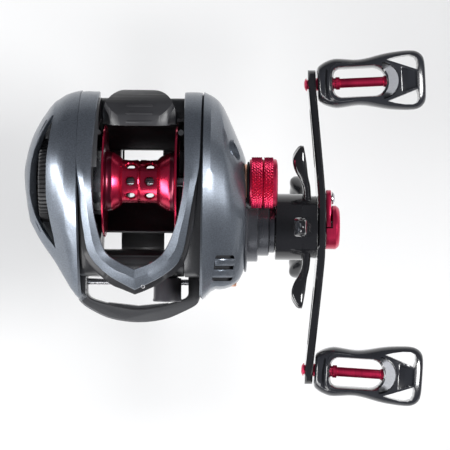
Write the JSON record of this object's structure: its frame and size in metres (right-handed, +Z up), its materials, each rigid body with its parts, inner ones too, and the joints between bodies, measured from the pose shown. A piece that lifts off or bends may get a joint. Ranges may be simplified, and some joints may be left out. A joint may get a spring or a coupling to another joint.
{
  "type": "baitcasting reel",
  "caption": "Low-profile fishing reel with a skeleton spool, level-wind line guide, star drag, thumb bar and a double-knob crank handle on the right.",
  "frame": {"origin": "middle of the underside of the reel foot, where it rests on the rod", "axes": "+X to the handle side along the spool axis, +Y to the rear, towards the angler, +Z up, away from the rod"},
  "size_m": [0.1247, 0.1122, 0.0533],
  "materials": {
    "slate_paint": "painted satin metallic blue-grey",
    "dark_frame_paint": "painted satin",
    "charcoal_plastic": "fine texture",
    "gloss_black_metal": "painted gloss black",
    "gloss_black_plastic": "painted gloss black",
    "black_plastic": "satin",
    "red_anodised": "glossy red anodised",
    "steel": "turned",
    "brass": "cut teeth",
    "copper_anodised": "copper-coloured anodised",
    "carbon_fibre": "woven",
    "black_rubber": "matte",
    "ceramic": "polished ceramic",
    "magnet_nickel": "nickel plated",
    "light_alloy": "turned"
  },
  "bodies": {
    "reel_frame": {"frame": "dark_frame_paint", "reel_foot": "black_plastic", "foot_screw_front": "steel", "foot_screw_rear": "steel", "hood": "slate_paint", "nose_cover": "dark_frame_paint", "hood_screw": "steel", "handle_side_plate": "slate_paint", "side_plate_screw": "steel", "oil_port_screw": "copper_anodised", "spool_bearing_right": "steel", "cap_copper_ring": "copper_anodised", "cap_rubber_ring": "black_rubber", "drive_collar": "gloss_black_metal", "anti_reverse_clutch": "steel", "drive_bearing_outer": "steel", "drive_bearing_inner": "steel", "worm_housing": "dark_frame_paint", "worm_bush_left": "black_plastic", "worm_bush_right": "black_plastic", "guide_rod": "steel", "yoke_post_lower": "steel", "yoke_post_upper": "steel"},
    "palm_side": {"palm_side_plate": "slate_paint", "brake_housing": "black_plastic", "spool_bearing_left": "steel"},
    "brake_dial": {"brake_dial": "black_plastic"},
    "magnets": {"magnet_holder": "black_plastic", "brake_magnet": "magnet_nickel"},
    "spool": {"spool": "red_anodised", "spool_shaft": "steel", "brake_rotor": "light_alloy"},
    "cast_cap": {"cast_control_cap": "red_anodised"},
    "drive": {"drive_shaft": "steel", "level_wind_cog": "brass", "drive_gear": "brass", "drag_washer_carbon": "carbon_fibre", "drag_washer_steel": "steel", "pressure_plate": "steel", "clutch_sleeve": "steel", "handle_arm": "gloss_black_metal", "handle_nut": "red_anodised", "nut_retainer": "red_anodised", "retainer_screw": "steel", "knob_post_rear": "red_anodised", "knob_post_front": "red_anodised"},
    "star": {"star_drag": "gloss_black_metal", "star_spring_washer": "steel"},
    "knob_rear": {"knob_rear": "gloss_black_plastic"},
    "knob_front": {"knob_front": "gloss_black_plastic"},
    "thumb_bar": {"thumb_bar": "charcoal_plastic", "clutch_cam": "steel"},
    "yoke": {"clutch_yoke": "black_plastic"},
    "pinion": {"pinion_gear": "brass"},
    "worm": {"worm_shaft": "steel", "worm_cog": "charcoal_plastic"},
    "line_guide": {"line_guide": "black_plastic", "line_ring": "ceramic", "pawl": "steel", "pawl_cap": "steel"}
  },
  "joints": [
    {"name": "palm_side_slide", "type": "slide", "parent": "reel_frame", "child": "palm_side", "axis": [-1, 0, 0], "range_m": [0, 0.03]},
    {"name": "brake_dial_turn", "type": "hinge", "parent": "palm_side", "child": "brake_dial", "pos_m": [-0.0288, 0, 0.027], "axis": [1, 0, 0], "range_deg": [0, 270]},
    {"name": "magnet_slide", "type": "slide", "parent": "palm_side", "child": "magnets", "axis": [1, 0, 0], "range_m": [0, 0.0009]},
    {"name": "spool_spin", "type": "hinge", "parent": "reel_frame", "child": "spool", "pos_m": [0, 0, 0.027], "axis": [1, 0, 0], "continuous": true},
    {"name": "cast_cap_turn", "type": "hinge", "parent": "reel_frame", "child": "cast_cap", "pos_m": [0.038, 0, 0.027], "axis": [1, 0, 0], "range_deg": [-180, 180]},
    {"name": "handle_turn", "type": "hinge", "parent": "reel_frame", "child": "drive", "pos_m": [0.04, -0.0136, 0.016], "axis": [1, 0, 0], "continuous": true},
    {"name": "star_drag_turn", "type": "hinge", "parent": "drive", "child": "star", "pos_m": [0.05, -0.0136, 0.016], "axis": [1, 0, 0], "range_deg": [-270, 90]},
    {"name": "knob_rear_spin", "type": "hinge", "parent": "drive", "child": "knob_rear", "pos_m": [0.0534, 0.0314, 0.016], "axis": [0.9984, 0.0558, 0], "continuous": true},
    {"name": "knob_front_spin", "type": "hinge", "parent": "drive", "child": "knob_front", "pos_m": [0.0534, -0.0586, 0.016], "axis": [0.9984, -0.0558, 0], "continuous": true},
    {"name": "thumb_bar_press", "type": "slide", "parent": "reel_frame", "child": "thumb_bar", "axis": [0, 0, -1], "range_m": [0, 0.0035]},
    {"name": "yoke_slide", "type": "slide", "parent": "reel_frame", "child": "yoke", "axis": [1, 0, 0], "range_m": [0, 0.0015]},
    {"name": "pinion_spin", "type": "hinge", "parent": "yoke", "child": "pinion", "pos_m": [0.022, 0, 0.027], "axis": [1, 0, 0], "continuous": true},
    {"name": "worm_spin", "type": "hinge", "parent": "reel_frame", "child": "worm", "pos_m": [0, -0.0255, 0.0125], "axis": [1, 0, 0], "continuous": true},
    {"name": "line_guide_slide", "type": "slide", "parent": "reel_frame", "child": "line_guide", "axis": [1, 0, 0], "range_m": [-0.0174, 0]}
  ],
  "couplings": [
    {"joint": "magnet_slide", "follows": "brake_dial_turn", "m_per_rad": 0.00019},
    {"joint": "spool_spin", "follows": "handle_turn", "ratio": -6.3},
    {"joint": "pinion_spin", "follows": "handle_turn", "ratio": -6.3},
    {"joint": "worm_spin", "follows": "handle_turn", "ratio": -1.4118},
    {"joint": "yoke_slide", "follows": "thumb_bar_press", "ratio": 0.4285}
  ]
}
